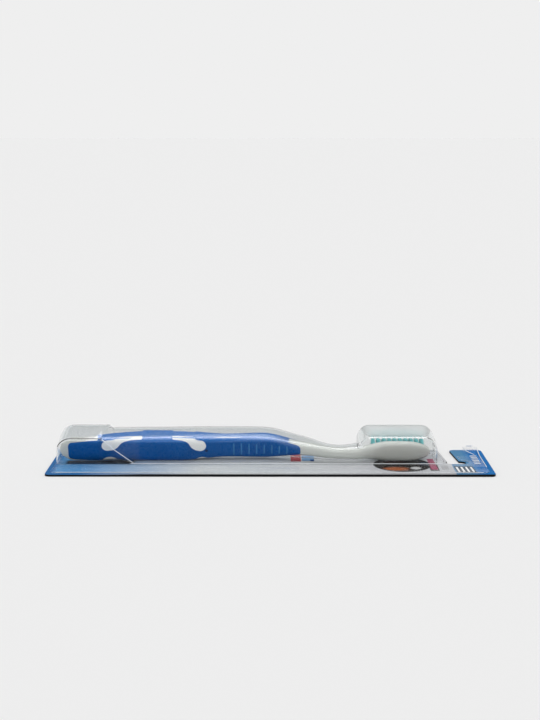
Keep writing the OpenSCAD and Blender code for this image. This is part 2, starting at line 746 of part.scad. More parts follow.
// The loose end of the peel tab, which slants up from the flange
module peel_tab() {
    translate([0, tab_root_y - blister_t, card_t]) rotate([tab_slant, 0, 0]) linear_extrude(blister_t)
        rounded_sheet(flange_x1 - tab_w, flange_x1, 0, tab_len, tab_w / 3);
}

module grip_bars() {
    bar_x = flange_x1 - (tab_w + tab_bar_len) / 2;
    for (i = [0:tab_bars - 1])
        translate([bar_x, tab_root_y - over - i * tab_bar_pitch - tab_bar_w, card_t])
            cube([tab_bar_len, tab_bar_w, blister_t + tab_bar_h]);
}

module blister_shell() {
    color("lightcyan", 0.35) difference() {
        union() {
            translate([0, 0, card_t]) linear_extrude(blister_t) flange_outline();
            peel_tab();
            grip_bars();
            bubble(0, 0);
            tail_pocket(0, 0);
            tail_ramp(0, 0);
            head_pocket(0, 0);
        }
        bubble(blister_t, over);
        tail_pocket(blister_t, over);
        tail_ramp(blister_t, over);
        head_pocket(blister_t, over);
    }
}

function two_digits(i) = i < 10 ? str("0", i) : str(i);
function tuft_name(i) = str("tuft_", two_digits(i + 1));
handle_core();
grip_overmould();
tuft_anchors();
rear_card();
printed_card();
blister_shell();
for (i = [0:len(tufts) - 1]) tuft(i);
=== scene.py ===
"""Dressed scene of a manual toothbrush that lies in a clear blister on its hanging card."""
import math
import random
import bmesh
import bpy
from mathutils import Matrix, Vector


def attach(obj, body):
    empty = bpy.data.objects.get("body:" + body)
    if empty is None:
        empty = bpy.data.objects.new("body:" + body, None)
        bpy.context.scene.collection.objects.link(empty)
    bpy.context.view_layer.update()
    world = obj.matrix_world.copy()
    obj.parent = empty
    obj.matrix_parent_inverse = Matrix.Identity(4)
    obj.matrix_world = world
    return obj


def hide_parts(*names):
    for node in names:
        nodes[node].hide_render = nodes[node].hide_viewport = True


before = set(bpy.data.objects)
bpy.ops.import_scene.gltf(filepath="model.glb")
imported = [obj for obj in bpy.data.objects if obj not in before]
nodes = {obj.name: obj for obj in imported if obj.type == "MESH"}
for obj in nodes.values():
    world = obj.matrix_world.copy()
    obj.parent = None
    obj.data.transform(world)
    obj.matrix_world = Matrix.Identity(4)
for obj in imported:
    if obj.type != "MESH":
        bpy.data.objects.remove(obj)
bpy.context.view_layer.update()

MM = 0.001

# Sizes of the real thing, in mm
CARD_LEN, CARD_W, CARD_T, SEAL = 224.0, 52.0, 1.0, 0.02
BRUSH_LEN, TAIL_ROUND, TIP_ROUND, END_SHARE = 190.0, 8.0, 13.0, 0.12
# Where the brush lies: tail end, distance and height of its belly, and its dip and roll in degrees
BRUSH_X0 = 4 - CARD_LEN / 2
BRUSH_Y, REST_Z, DIP, ROLL, BELLY_X = -0.8, 6.87284, 0.425103, 16.0, 45.0
NAPE_X, ROW_X = 152.0, 161.2
HEEL_X = NAPE_X + (ROW_X - NAPE_X) * 0.76
HANDLE_CORNER, NECK_CORNER, HEAD_CORNER = 3.8, 2.3, 3.4

# Grip
GRIP_PROUD, GRIP_DEPTH, GRIP_X0, GRIP_X1 = 0.15, -0.5, 1.5, 141
PANEL_TAIL_X, PANEL_TAIL_Y, PANEL_TAIL_R = 4.4, 2.4, 2.4
PANEL_NECK_X, PANEL_NECK_Y, PANEL_NECK_R = 123.5, 0.7, 2
PANEL_WIDE_X0, PANEL_WIDE_X1, PANEL_WIDE = 19.5, 113, 13
WINDOW_FLOOR, WINDOW_TOP = 2.4, 14
DIMPLE_X, DIMPLE_Y, DIMPLE_R, DIMPLE_OUT = 75.2, 0.6, 3.0, 2.9
RIBS, RIB_X0, RIB_PITCH, RIB_LONG, RIB_SHORT = 8, 89.2, 3.9, 7.2, 4.4
RIB_HALF_W, RIB_H, RIB_SINK = 0.42, 0.4, 0.12

# Bristle field
FACE_Z, BRISTLE_LEN, FILAMENTS = 4.35, 11.0, 40
ROWS, ROW_PITCH, TUFT_INSET = (3, 4, 4, 4, 4, 4, 4, 4, 3, 3), 2.8, 1.5
HOLE_R, HOLE_DEPTH, HOLE_CUT = 0.85, 3, 4
ROOT_R, ROOT_LEN, ROOT_SINK = 0.82, 2.2, 0.1
STRAND_R, STRAND_SINK, TUFT_R, SPLAY, SWAY = 0.085, 0.6, 0.74, 0.16, 0.05
GOLDEN_TURN = math.radians(137.508)

# place, width, height of back, height of front, corner shape
KEYS = [
    (0, 12.2, -0.6, 3.8, HANDLE_CORNER),
    (10, 12.2, -0.6, 3.8, HANDLE_CORNER),
    (21, 12.6, -0.3, 6.7, HANDLE_CORNER),
    (45, 13.4, 0, 12, HANDLE_CORNER),
    (60, 13.4, 0, 12, HANDLE_CORNER),
    (85, 10.4, 2.4, 10.8, HANDLE_CORNER),
    (104, 11.2, 3, 11.4, HANDLE_CORNER),
    (124, 6.8, 1.1, 7.2, NECK_CORNER),
    (143, 5.6, -3.2, 1.7, NECK_CORNER),
    (NAPE_X, 5.6, -3.2, 1.7, NECK_CORNER),
    (HEEL_X, 5.6 + 4.8 * 0.38, -3.2 + 2.9 * 0.48, 4.7, NECK_CORNER),
    (169, 10.4, -0.3, 4.7, HEAD_CORNER),
    (BRUSH_LEN, 10.4, -0.3, 4.7, HEAD_CORNER),
]


def rate(keys, i, c):
    return (keys[i + 1][c] - keys[i][c]) / (keys[i + 1][0] - keys[i][0])


def slope(keys, i, c):
    if i in (0, len(keys) - 1) or rate(keys, i - 1, c) * rate(keys, i, c) <= 0:
        return 0
    return 2 / (1 / rate(keys, i - 1, c) + 1 / rate(keys, i, c))


def along(keys, c, x):
    """Smooth curve through column c of keys that never swings past its rows."""
    i = max([j for j in range(len(keys) - 1) if x >= keys[j][0]], default=0)
    h = keys[i + 1][0] - keys[i][0]
    u = (x - keys[i][0]) / h
    return (keys[i][c] * (2 * u**3 - 3 * u**2 + 1) + slope(keys, i, c) * h * (u**3 - 2 * u**2 + u)
            + keys[i + 1][c] * (3 * u**2 - 2 * u**3) + slope(keys, i + 1, c) * h * (u**3 - u**2))


def end_round(x):
    if x < TAIL_ROUND:
        return max(END_SHARE, math.sqrt(max(0, 1 - (1 - x / TAIL_ROUND) ** 2)))
    if x > BRUSH_LEN - TIP_ROUND:
        return max(END_SHARE, math.sqrt(max(0, 1 - ((x - BRUSH_LEN + TIP_ROUND) / TIP_ROUND) ** 2)))
    return 1


def width(x):
    return along(KEYS, 1, x) * end_round(x)


def thick(x):
    return (along(KEYS, 3, x) - along(KEYS, 2, x)) * math.sqrt(end_round(x))


def middle(x):
    return (along(KEYS, 3, x) + along(KEYS, 2, x)) / 2


def bend(v, e):
    return math.copysign(abs(v) ** (2 / e), v)


def brush_ring(x, grow, n=72):
    """Section of the brush at x, grown outwards by grow, as points evenly turned about its middle."""
    w, t, e, m = width(x) / 2 + grow, thick(x) / 2 + grow, along(KEYS, 4, x), middle(x)
    turns = [2 * math.pi * k / n for k in range(n)]
    return [Vector((x, w * bend(math.cos(a), e), m + t * bend(math.sin(a), e))) for a in turns]


IN_PACK = (Matrix.Translation((BRUSH_X0 + BELLY_X, BRUSH_Y, REST_Z))
           @ Matrix.Rotation(math.radians(DIP), 4, "Y")
           @ Matrix.Rotation(math.radians(ROLL - 90), 4, "X")
           @ Matrix.Translation((-BELLY_X, 0, 0)))


# Modelling
def rest():
    if bpy.context.object and bpy.context.object.mode != "OBJECT":
        bpy.ops.object.mode_set(mode="OBJECT")
    bpy.ops.object.select_all(action="DESELECT")


def take(piece):
    rest()
    piece.select_set(True)
    bpy.context.view_layer.objects.active = piece
    return piece


def apply(piece, kind, **settings):
    take(piece)
    m = piece.modifiers.new(kind.lower(), kind)
    for k, v in settings.items():
        setattr(m, k, v)
    bpy.ops.object.modifier_apply(modifier=m.name)
    return piece


def combine(piece, tool, how="DIFFERENCE"):
    """Cuts piece with tool, or joins or meets them, and puts the tool away."""
    apply(piece, "BOOLEAN", operation=how, object=tool, solver="EXACT")
    bpy.data.objects.remove(tool)
    return piece


def mesh_of(kind, **settings):
    rest()
    getattr(bpy.ops.mesh, f"primitive_{kind}_add")(**settings)
    return bpy.context.object


def sweep(rings):
    """A closed skin: a circle shaped to the first ring, then extruded from ring to ring and capped."""
    piece = mesh_of("circle", vertices=len(rings[0]), radius=1)
    bpy.ops.object.mode_set(mode="EDIT")
    bm = bmesh.from_edit_mesh(piece.data)
    turn = bm.verts.layers.int.new("turn")
    for i, v in enumerate(bm.verts):
        v[turn] = i
        v.co = rings[0][i]
    bmesh.update_edit_mesh(piece.data)
    bpy.ops.mesh.select_all(action="SELECT")
    for ring in rings[1:]:
        bpy.ops.mesh.extrude_region()
        bm = bmesh.from_edit_mesh(piece.data)
        turn = bm.verts.layers.int["turn"]
        for v in bm.verts:
            if v.select:
                v.co = ring[v[turn]]
        bmesh.update_edit_mesh(piece.data)
    bpy.ops.mesh.edge_face_add()
    bpy.ops.mesh.select_all(action="DESELECT")
    bm = bmesh.from_edit_mesh(piece.data)
    bm.verts.ensure_lookup_table()
    for e in bm.edges:
        if e.is_boundary:
            e.select = True
    bmesh.update_edit_mesh(piece.data)
    bpy.ops.mesh.edge_face_add()
    bpy.ops.mesh.select_all(action="SELECT")
    bpy.ops.mesh.normals_make_consistent(inside=False)
    bpy.ops.object.mode_set(mode="OBJECT")
    return piece


def hull_of(points):
    """The tight solid round some points."""
    piece = mesh_of("cube", size=1)
    bpy.ops.object.mode_set(mode="EDIT")
    bm = bmesh.from_edit_mesh(piece.data)
    bmesh.ops.delete(bm, geom=bm.verts[:], context="VERTS")
    for p in points:
        bm.verts.new(p)
    bmesh.update_edit_mesh(piece.data)
    bpy.ops.mesh.select_all(action="SELECT")
    bpy.ops.mesh.convex_hull()
    bpy.ops.object.mode_set(mode="OBJECT")
    return piece


def disc(x, y, r, z, n=40):
    return [Vector((x + r * math.cos(2 * math.pi * k / n), y + r * math.sin(2 * math.pi * k / n), z))
            for k in range(n)]


def settle(piece, name, matrix=None, body=None, smooth=None, finish=None, stands_for=()):
    """Brings a piece to its place in metres, names it, shades it, and hands it to its body."""
    if matrix is not None:
        piece.data.transform(matrix)
    piece.data.transform(Matrix.Scale(MM, 4))
    piece.name = piece.data.name = name
    take(piece)
    if smooth is not None:
        bpy.ops.object.shade_smooth_by_angle(angle=math.radians(smooth))
    piece.data.materials.clear()
    if finish is not None:
        piece.data.materials.append(finish)
    if body:
        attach(piece, body)
    if stands_for:
        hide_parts(*stands_for)
    rest()
    return piece


# Shaders
class Mix:
    """A shader value; plain maths on it adds the Math nodes."""

    def __init__(self, tree, socket):
        self.tree, self.socket = tree, socket

    def math(self, operation, *others, clamp=False):
        n = self.tree.nodes.new("ShaderNodeMath")
        n.operation, n.use_clamp = operation, clamp
        for i, v in enumerate((self, *others)):
            if isinstance(v, Mix):
                self.tree.links.new(v.socket, n.inputs[i])
            else:
                n.inputs[i].default_value = v
        return Mix(self.tree, n.outputs[0])

    def flipped(self, operation, other):
        n = self.tree.nodes.new("ShaderNodeMath")
        n.operation = operation
        n.inputs[0].default_value = other
        self.tree.links.new(self.socket, n.inputs[1])
        return Mix(self.tree, n.outputs[0])

    def __add__(self, o): return self.math("ADD", o)
    def __radd__(self, o): return self.math("ADD", o)
    def __sub__(self, o): return self.math("SUBTRACT", o)
    def __rsub__(self, o): return self.flipped("SUBTRACT", o)
    def __mul__(self, o): return self.math("MULTIPLY", o)
    def __rmul__(self, o): return self.math("MULTIPLY", o)
    def __truediv__(self, o): return self.math("DIVIDE", o)
    def __pow__(self, o): return self.math("POWER", o)
    def __abs__(self): return self.math("ABSOLUTE")
    def most(self, o): return self.math("MAXIMUM", o)
    def least(self, o): return self.math("MINIMUM", o)

    def over(self, edge, soft):
        """0 below edge and 1 above it, over a soft band."""
        return ((self - edge) / soft + 0.5).math("ADD", 0.0, clamp=True)

    def within(self, lo, hi, soft):
        return self.over(lo, soft) * (1 - self.over(hi, soft))


class Finish:
    """A procedural material on the Principled shader."""

    def __init__(self, name, **fixed):
        self.material = bpy.data.materials.new(name)
        self.material.use_nodes = True
        self.tree = self.material.node_tree
        self.shader = next(n for n in self.tree.nodes if n.type == "BSDF_PRINCIPLED")
        for k, v in fixed.items():
            self.shader.inputs[k.replace("_", " ")].default_value = v

    def node(self, kind, settings=None, **inputs):
        n = self.tree.nodes.new(kind)
        for k, v in (settings or {}).items():
            setattr(n, k, v)
        for k, v in inputs.items():
            socket = n.inputs[k.replace("_", " ")]
            if isinstance(v, Mix):
                self.tree.links.new(v.socket, socket)
            else:
                socket.default_value = v
        return n

    def place(self):
        """Place on the object in millimetres, as three values."""
        where = self.node("ShaderNodeTexCoord").outputs["Object"]
        parts = self.node("ShaderNodeSeparateXYZ", Vector=Mix(self.tree, where))
        return [Mix(self.tree, s) * 1000 for s in parts.outputs]

    def where(self):
        return Mix(self.tree, self.node("ShaderNodeTexCoord").outputs["Object"])

    def noise(self, scale, detail=2.0, rough=0.5, stretch=(1, 1, 1)):
        """Cloudy value about 0.5; scale is in waves to the millimetre."""
        m = self.node("ShaderNodeMapping", Vector=self.where(), Scale=[1000 * scale * s for s in stretch])
        n = self.node("ShaderNodeTexNoise", Vector=Mix(self.tree, m.outputs[0]), Scale=1.0,
                      Detail=detail, Roughness=rough)
        return Mix(self.tree, n.outputs["Fac"])

    def tint(self, mask, under, above):
        """under where mask is 0 and above where it is 1; both are colours or links."""
        n = self.node("ShaderNodeMix", {"data_type": "RGBA"})
        self.tree.links.new(mask.socket, n.inputs["Factor"])
        for socket, v in ((n.inputs[6], under), (n.inputs[7], above)):
            if isinstance(v, Mix):
                self.tree.links.new(v.socket, socket)
            else:
                socket.default_value = (*v, 1)
        return Mix(self.tree, n.outputs[2])

    def feed(self, **inputs):
        for k, v in inputs.items():
            self.tree.links.new(v.socket, self.shader.inputs[k.replace("_", " ")])
        return self

    def bump(self, height, distance_mm, strength=1.0):
        n = self.node("ShaderNodeBump", Height=height, Distance=distance_mm * MM, Strength=strength)
        self.tree.links.new(n.outputs["Normal"], self.shader.inputs["Normal"])
        return self


def rgb(r, g, b):
    """Screen colour 0-255 to the shader's linear colour."""
    return tuple(((c / 255 + 0.055) / 1.055) ** 2.4 if c > 10 else c / 255 / 12.92 for c in (r, g, b))


def white_plastic():
    f = Finish("white_gloss_plastic", Roughness=0.22, IOR=1.49)
    x = f.place()[0]
    milky = f.tint(f.noise(0.08, 3), rgb(204, 207, 202), rgb(214, 217, 212))
    # Painted light: the core is whiter along the grip, where its windows show, standing in for the light they
    # catch.
    painted_light_under_grip = x.within(-94, -20, 3)
    f.feed(Base_Color=f.tint(painted_light_under_grip, milky, rgb(248, 249, 248)),
           Roughness=0.2 + 0.08 * f.noise(0.6, 3))
    return f.bump(f.noise(0.5, 3), 0.012, 0.5).material


def grip_rubber():
    f = Finish("blue_soft_grip", Roughness=0.3, IOR=1.42)
    x, y, z = f.place()
    deep = f.tint(f.noise(0.12, 3), rgb(4, 82, 156), rgb(12, 92, 166))
    # Painted light: the top side of the grip is a lighter blue, standing in for the light it catches from above.
    lit_top = f.tint(z.over(12.2, 2.4), deep, rgb(24, 116, 200))
    # Painted shade: the floor of the dimple on the back is a near-black blue.
    from_pit = ((x + 32.8) ** 2 + (z - 6.8) ** 2) ** 0.5
    pit_shade = (1 - from_pit.over(0.75, 0.15)) * (1 - y.over(1, 0.5))
    f.feed(Base_Color=f.tint(pit_shade, lit_top, rgb(4, 34, 74)),
           Roughness=0.24 + 0.08 * f.noise(1.2, 3))
    return f.bump(f.noise(9.0, 2, 0.6), 0.008, 0.5).material


def rib_rubber():
    f = Finish("pale_rib_blue", Roughness=0.35, IOR=1.42)
    # The ribs are a lighter blue than the rest of the grip.
    f.feed(Base_Color=f.tint(f.noise(1.0, 3), rgb(46, 114, 178), rgb(74, 138, 196)))
    return f.bump(f.noise(9.0, 2, 0.6), 0.008, 0.5).material


def bristle_nylon():
    f = Finish("aqua_nylon", Roughness=0.4, IOR=1.53)
    f.feed(Base_Color=f.tint(f.noise(0.9, 2), rgb(96, 196, 200), rgb(150, 222, 222)))
    return f.material


def anchor_metal():
    f = Finish("stamped_anchor_metal", Metallic=1.0, Roughness=0.4)
    f.feed(Base_Color=f.tint(f.noise(1.5, 2), rgb(196, 190, 160), rgb(214, 209, 186)))
    return f.material


def shadow_dark_board():
    f = Finish("rear_board_painted_shadow", Roughness=0.8)
    fibre = f.noise(2.0, 4, 0.6, (1, 1, 4))
    # Painted shadow: the rear board is near black, which also stands in for the shadow under the card's lifted
    # near edge.
    f.feed(Base_Color=f.tint(fibre, rgb(8, 9, 10), rgb(22, 24, 26)), Roughness=0.7 + 0.2 * fibre)
    return f.bump(fibre, 0.02, 0.5).material


def lets_light_by(f):
    """Mask for the rays that light the pieces under the clear plastic."""
    path = f.node("ShaderNodeLightPath")
    return Mix(f.tree, path.outputs["Is Shadow Ray"]).most(Mix(f.tree, path.outputs["Is Diffuse Ray"]))


def clear_plastic():
    f = Finish("clear_thermoformed_plastic", IOR=1.5, Transmission_Weight=1.0)
    x, y, z = f.place()
    roof = y.over(-2.4, 0.6) * z.over(6, 4)
    head_roof = x.over(44, 3) * z.over(15.1, 0.5)
    # Painted sheen: the roofs are tinted greyer than the front wall, and the head pocket's roof greyest, standing
    # in for the grey reflection they show.
    painted_sheen_grey = f.tint(head_roof, (0.89, 0.91, 0.91), (0.8, 0.83, 0.83))
    f.feed(Alpha=1 - 0.88 * lets_light_by(f), Roughness=0.03 + 0.3 * head_roof,
           Base_Color=f.tint(roof, (0.95, 0.96, 0.96), painted_sheen_grey))
    return f.bump(f.noise(0.1, 2), 0.05, 0.25).material


def clear_sheet():
    """The flat flange: it lies on the print and hardly shines, with long faint streaks."""
    f = Finish("clear_flat_sheet", IOR=1.03, Transmission_Weight=1.0, Coat_IOR=1.4, Coat_Roughness=0.12)
    x, y, _ = f.place()
    streaks = f.noise(0.5, 3, 0.6, (0.08, 1, 1))
    tab = x.over(101.7, 0.3) * y.over(11.5, 1)
    clear = f.tint(streaks.over(0.52, 0.25), (0.88, 0.9, 0.92), (0.99, 0.99, 0.99))
    shine = f.noise(0.13, 3, 0.6, (0.1, 1, 1)).over(0.56, 0.12)
    f.feed(Alpha=1 - 0.9 * lets_light_by(f), Roughness=0.05 + 0.1 * streaks + 0.15 * tab, Base_Color=clear,
           Coat_Weight=0.35 * shine)
    return f.bump(streaks, 0.1, 0.4).material


def whitened_highlight_plastic():
    f = Finish("whitened_plastic_and_painted_highlight", Roughness=0.35, IOR=1.5)
    # Near-white beads and bars: partly whitened and frosted plastic, partly a painted highlight for the bright
    # lines that folds, cut edges and raised bars catch.
    f.feed(Base_Color=f.tint(f.noise(1.0, 2), rgb(224, 230, 236), rgb(248, 250, 252)))
    return f.material


def edge_shade_plastic():
    f = Finish("painted_dark_edge_line", Roughness=0.6, Specular_IOR_Level=0.1)
    # Painted dark line: near-black plastic for the bead along the tail pocket's front edge, standing in for the
    # dark reflection that edge shows.
    f.feed(Base_Color=f.tint(f.noise(0.4, 2), rgb(52, 50, 48), rgb(84, 82, 80)))
    return f.material


SPOT_R = 14.7
# Where each plain block starts and ends along and across the card, and its colour
PRINTED_BLOCKS = (
    (80.4, 85.0, -18.2, -6.0, (34, 14, 24)),
    (81.0, 84.4, -16.0, 6.5, (160, 84, 108)),
    (86.4, 90.0, -16.4, -7.4, (168, 168, 170)),
    (10.5, 15.8, 0.7, 14.6, (176, 84, 92)),
    (16.4, 22.6, 2.0, 13.0, (120, 158, 198)),
    (20.6, 22.6, 1.2, 5.0, (34, 66, 120)),
)


def printed_board():
    """Plain blue and white print with a round spot, bars and blocks of no particular make."""
    f = Finish("printed_board", Roughness=0.4, Specular_IOR_Level=0.01)
    x, y, z = f.place()
    tail_blue = f.tint(x.over(-108, 2) * y.over(-23, 1), rgb(44, 104, 162), rgb(84, 142, 192))
    pale = f.tint(x.over(20, 60), rgb(200, 204, 205), rgb(188, 189, 192))
    hook_blue = f.tint(x.over(103, 5), rgb(80, 132, 172), rgb(22, 108, 176))
    ink = f.tint(x.over(-66, 60), tail_blue, pale)
    ink = f.tint(x.over(92.5, 0.5), ink, hook_blue)

    # Round spot: a dark disc with a warm patch and two cool ones
    from_spot = ((x - 67.2) ** 2 + (y + 5.8) ** 2) ** 0.5
    from_warm = (((x - 63) / 7) ** 2 + ((y + 14.6) / 4) ** 2) ** 0.5 + 0.8 * f.noise(0.3, 3)
    spot = f.tint(1 - from_warm.over(1.3, 0.5), rgb(18, 15, 15), rgb(150, 84, 48))
    for px, py, r, soft, colour in ((73.5, -13, 2.6, 1.2, (190, 190, 190)), (79, -4, 3.2, 1.4, (38, 62, 84))):
        from_patch = ((x - px) ** 2 + (y - py) ** 2).math("SQRT")
        spot = f.tint(from_patch.within(-1, r, soft), spot, rgb(*colour))
    ink = f.tint(1 - from_spot.over(SPOT_R, 0.5), ink, spot)
    ink = f.tint(from_spot.within(SPOT_R - 1, SPOT_R, 0.4), ink, rgb(20, 22, 26))

    # Painted contact shadow under the tail, painted shadow along the near edge, and plain blocks
    ink = f.tint(x.within(-104.5, -70, 1.5) * y.within(-4.9, 2.5, 0.8), ink, rgb(8, 14, 26))
    ink = f.tint(x.over(-74, 20) * (1 - y.over(-24.9, 0.3)), ink, rgb(22, 24, 26))
    for x0, x1, y0, y1, colour in PRINTED_BLOCKS:
        ink = f.tint(x.within(x0, x1, 0.3) * y.within(y0, y1, 0.3), ink, rgb(*colour))

    # Short slanted bars with a dark outline at the hanging end
    lean = x + 0.04 * y
    for grow, colour in ((0.55, (24, 28, 34)), (0.0, (240, 241, 241))):
        for i in range(4):
            start = 93.2 + 2.4 * i
            across = lean.within(start - grow, start + 1.1 + grow, 0.2)
            ink = f.tint(across * y.within(-20.5 - 2 * grow, -10.5 + 2 * grow, 0.3), ink, rgb(*colour))
    paper = f.noise(3.0, 3, 0.6)
    # Painted shadow: the card's cut edges below the top face are near black.
    ink = f.tint(z.over(0.95, 0.04), rgb(18, 20, 22), ink)
    f.feed(Base_Color=ink, Roughness=0.36 + 0.12 * paper)
    return f.bump(paper, 0.006, 0.4).material


WHITE, BLUE, PALE_RIB, AQUA = white_plastic(), grip_rubber(), rib_rubber(), bristle_nylon()
METAL, SHADOW_BOARD, CLEAR, SHEET, PRINT = anchor_metal(), shadow_dark_board(), clear_plastic(), clear_sheet(), printed_board()
WHITENED_HIGHLIGHT, EDGE_SHADE = whitened_highlight_plastic(), edge_shade_plastic()

for name, finish in (("rear_card", SHADOW_BOARD), ("printed_card", PRINT), ("tuft_anchors", METAL)):
    nodes[name].data.materials.clear()
    nodes[name].data.materials.append(finish)


# The brush
def stations(x0, x1, step):
    n = max(1, round((x1 - x0) / step))
    return [x0 + (x1 - x0) * i / n for i in range(n + 1)]


TAIL_PLACES = [TAIL_ROUND * (1 - math.cos(math.pi / 2 * i / 14)) for i in range(15)]
BODY_PLACES = stations(TAIL_ROUND, BRUSH_LEN - TIP_ROUND, 1.5)[1:]
TIP_PLACES = [BRUSH_LEN - TIP_ROUND + TIP_ROUND * math.sin(math.pi / 2 * i / 16) for i in range(1, 17)]
PLACES = TAIL_PLACES + BODY_PLACES + TIP_PLACES


def brush_skin(grow, x0=-1.0, x1=BRUSH_LEN + 1):
    return sweep([brush_ring(x, grow) for x in PLACES if x0 <= x <= x1])


def tuft_places():
    shares = {3: (-1, 0, 1), 4: (-1, -1 / 3, 1 / 3, 1)}
    spots = []
    for row, count in enumerate(ROWS):
        x = ROW_X + ROW_PITCH * row
        spots += [(x, s * (width(x) / 2 - TUFT_INSET)) for s in shares[count]]
    return spots


TUFTS = tuft_places()


def make_core():
    core = brush_skin(0)
    face = mesh_of("cube", size=1)
    face.data.transform(Matrix.Translation((NAPE_X + 40, 0, FACE_Z + 5)) @ Matrix.Diagonal((80, 30, 10, 1)))
    combine(core, face)
    holes = None
    for x, y in TUFTS:
        hole = mesh_of("cylinder", vertices=20, radius=HOLE_R, depth=HOLE_CUT)
        hole.data.transform(Matrix.Translation((x, y, FACE_Z - HOLE_DEPTH + HOLE_CUT / 2)))
        if holes is None:
            holes = hole
        else:
            take(hole)
            holes.select_set(True)
            bpy.context.view_layer.objects.active = holes
            bpy.ops.object.join()
    combine(core, holes)
    return settle(core, "brush_core", IN_PACK, "brush", 32, WHITE, ("handle_core",))


def surface_point(x, y, face, grow):
    """Point of the handle's back or front face at a place and distance from its middle line."""
    w, t, e = width(x) / 2 + grow, thick(x) / 2 + grow, along(KEYS, 4, x)
    return Vector((x, y, middle(x) + face * t * (max(0, 1 - abs(y / w) ** e)) ** (1 / e)))


def window_prism(spots, face):
    """A window's cutter: the chain of hulls round its discs, standing up out of one face."""
    prism = None
    for a, b in zip(spots, spots[1:]):
        part = hull_of([p for x, y, r in (a, b) for z in (WINDOW_FLOOR, WINDOW_TOP)
                        for p in disc(x, y, r, middle(x) + face * z)])
        prism = part if prism is None else combine(prism, part, "UNION")
    return prism


# Share of the way to the slim end, inset from the handle's edge and radius, both as shares of the round end's
WINDOW_SHAPE = ((0, 1.25, 1), (0.1, 1.2, 0.97), (0.21, 1.0, 0.85), (0.3, 0.6, 0.68), (0.38, 0.33, 0.54),
                (0.5, 0.1, 0.44), (0.7, -0.02, 0.36), (1, -0.05, 0.3))


def window_spots(lobe_x, tip_x, r, side):
    """Discs from a window's round end along a curve to its slim end on the handle's edge."""
    spots = []
    for share, inset, size in WINDOW_SHAPE:
        x = lobe_x + (tip_x - lobe_x) * share
        spots.append((x, side * (width(x) / 2 - r * inset), r * size))
    return spots


def round_window(x, r, beyond):
    """The small window at the handle's lower edge: one disc whose centre lies beyond the edge."""
    return [(x - 0.05, width(x) / 2 + beyond, r), (x + 0.05, width(x) / 2 + beyond, r)]


def grip_panel():
    """Cutter of the grip's outline: a slimmer rounded end towards the tail and the neck."""
    tail = (disc(PANEL_TAIL_X + PANEL_TAIL_R, PANEL_TAIL_Y, PANEL_TAIL_R, 0)
            + disc(PANEL_TAIL_X + PANEL_TAIL_R, -PANEL_TAIL_Y, PANEL_TAIL_R, 0)
            + [Vector((PANEL_WIDE_X0, s * 5.9, 0)) for s in (-1, 1)])
    neck = (disc(PANEL_NECK_X - PANEL_NECK_R, PANEL_NECK_Y, PANEL_NECK_R, 0)
            + disc(PANEL_NECK_X - PANEL_NECK_R, -PANEL_NECK_Y, PANEL_NECK_R, 0)
            + [Vector((x, s * 5.5, 0)) for x in (PANEL_WIDE_X1 - 1, PANEL_WIDE_X1) for s in (-1, 1)])
    mid = [Vector((x, s * PANEL_WIDE, 0)) for x in (PANEL_WIDE_X0, PANEL_WIDE_X1) for s in (-1, 1)]
    panel = None
    for flat in (tail, mid, neck):
        part = hull_of([Vector((p.x, p.y, z)) for p in flat for z in (-20, 30)])
        panel = part if panel is None else combine(panel, part, "UNION")
    return panel


def make_grip():
    skin = brush_skin(GRIP_PROUD, -1, GRIP_X1 - 1)
    combine(skin, brush_skin(GRIP_DEPTH, GRIP_X0, GRIP_X1))
    combine(skin, grip_panel(), "INTERSECT")
    for face in (-1, 1):
        for spots in (window_spots(24.4, 41.5, 2.8, -1), window_spots(72.2, 58.5, 2.8, -1),
                      round_window(25.3, 4.3, 1.5), round_window(72.8, 3.6, 1.6)):
            combine(skin, window_prism(spots, face))
    for face in (-1, 1):
        dimple = mesh_of("uv_sphere", segments=32, ring_count=16, radius=DIMPLE_R)
        spot = surface_point(DIMPLE_X, DIMPLE_Y, face, GRIP_PROUD)
        dimple.data.transform(Matrix.Translation(spot + Vector((0, 0, face * DIMPLE_OUT))))
        combine(skin, dimple)
    return settle(skin, "soft_grip", IN_PACK, "brush", 32, BLUE, ("grip_overmould",))


def make_rib(i, face):
    """A low rounded ridge across the thumb rest: a grid laid on the handle and raised along its middle."""
    x0 = RIB_X0 + RIB_PITCH * i
    length = RIB_LONG + (RIB_SHORT - RIB_LONG) * i / (RIBS - 1)
    rows, columns = 9, 25
    rings = []
    for j in range(columns):
        u = -1 + 2 * j / (columns - 1)
        y = u * length / 2
        swell = math.sqrt(max(0.0, 1 - u**6))
        ring = []
        for k in range(rows):
            a = math.pi * k / (rows - 1)
            x = x0 + RIB_HALF_W * math.cos(a) * (0.35 + 0.65 * swell)
            rise = (RIB_H * 0.75 + RIB_SINK) * math.sin(a) * swell
            ring.append(surface_point(x, y, face, GRIP_PROUD - RIB_SINK + rise))
        ring.append(surface_point(x0, y, face, -0.3))
        rings.append(ring)
    rib = sweep(rings)
    side = "back" if face < 0 else "front"
    return settle(rib, f"thumb_rib_{side}_{i + 1}", IN_PACK, "brush", 60, PALE_RIB)


